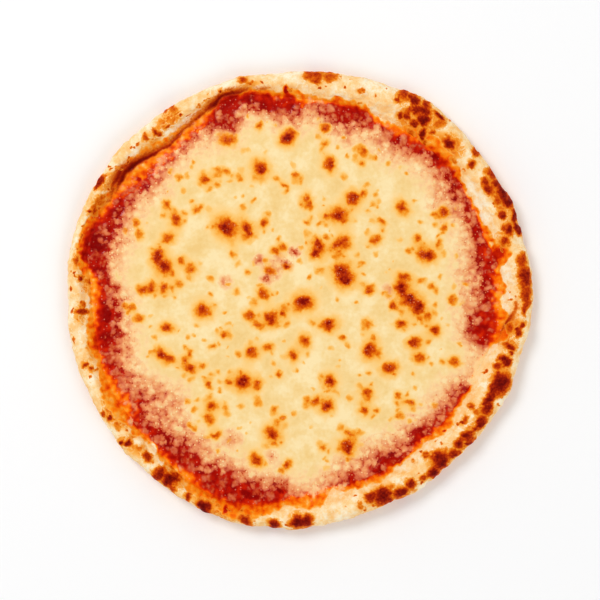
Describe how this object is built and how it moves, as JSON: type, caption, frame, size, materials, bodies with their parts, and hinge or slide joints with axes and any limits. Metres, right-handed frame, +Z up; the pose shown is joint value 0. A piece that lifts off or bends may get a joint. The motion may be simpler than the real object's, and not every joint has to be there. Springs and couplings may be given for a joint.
{
  "type": "margherita pizza",
  "caption": "Round baked pizza with a puffed, unevenly browned crust rim, a layer of tomato sauce and a sheet of melted cheese with toasted spots.",
  "frame": {"origin": "centre of the flat underside, on the surface the pizza rests on", "axes": "+Z up through the pizza's thickness; +X to the right and +Y away from the viewer in the top view"},
  "size_m": [0.308, 0.3024, 0.0196],
  "materials": {
    "baked_dough": "matte baked dough, pale cream with brown blisters",
    "tomato_sauce": "wet tomato sauce, deep red",
    "melted_cheese": "melted cheese, pale yellow with toasted brown spots, slightly oily"
  },
  "bodies": {
    "root": {"crust": "baked_dough", "tomato_sauce": "tomato_sauce", "cheese": "melted_cheese"}
  },
  "joints": []
}
